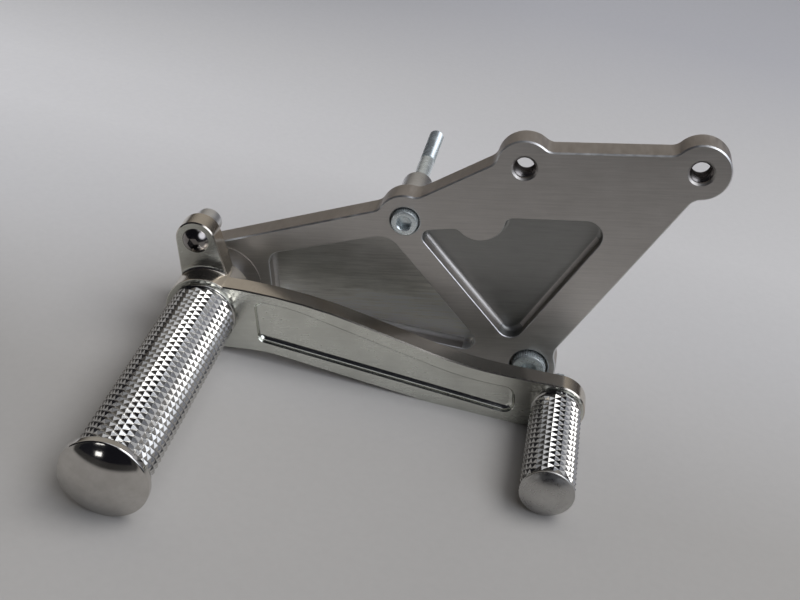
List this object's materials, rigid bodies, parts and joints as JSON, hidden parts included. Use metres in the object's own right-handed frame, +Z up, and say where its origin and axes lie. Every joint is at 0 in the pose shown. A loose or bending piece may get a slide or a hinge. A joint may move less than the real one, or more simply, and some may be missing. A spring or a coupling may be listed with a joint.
{
  "type": "rear-set footrest",
  "caption": "Billet rear-set footrest: a pocketed mounting plate with a fixed knurled foot peg, a pivoting toe pedal with a smaller peg, and long frame screws behind.",
  "frame": {"origin": "the pedal's pivot axis, which is also the foot peg's axis, where it meets the plate's front face", "axes": "+X forward along the two tapped holes, +Y back towards the machine and along every screw, +Z up"},
  "size_m": [0.2034, 0.2095, 0.1061],
  "materials": {
    "plate": "brushed, fine grain along the plate",
    "lever": "polished billet, satin side faces",
    "peg": "polished diamond knurl and mirror domed end",
    "toe": "polished diamond knurl and satin domed end",
    "steel": "turned steel",
    "bronze": "turned bearing bronze",
    "zinc": "bright zinc plating",
    "dark_chrome": "dark mirror plating",
    "collar": "turned, satin",
    "spacer": "turned, pale satin"
  },
  "bodies": {
    "plate": {"mount_plate": "plate", "pivot_post": "steel", "thrust_washer": "steel", "foot_peg": "peg", "peg_bolt": "zinc", "peg_washer": "zinc", "peg_lock_washer": "steel", "upper_screw": "zinc", "upper_spacer": "spacer", "lower_screw": "zinc", "lower_spacer": "spacer"},
    "pedal": {"pedal_lever": "lever", "bush_front": "bronze", "bush_rear": "bronze", "toe_peg": "toe", "toe_screw": "zinc", "toe_washer": "zinc", "toe_lock_washer": "steel", "ear_screw": "dark_chrome", "ear_collar": "collar"}
  },
  "joints": [
    {"name": "pedal_pivot", "type": "hinge", "parent": "plate", "child": "pedal", "pos_m": [0, 0, 0], "axis": [0, 1, 0], "range_deg": [0, 15]}
  ]
}
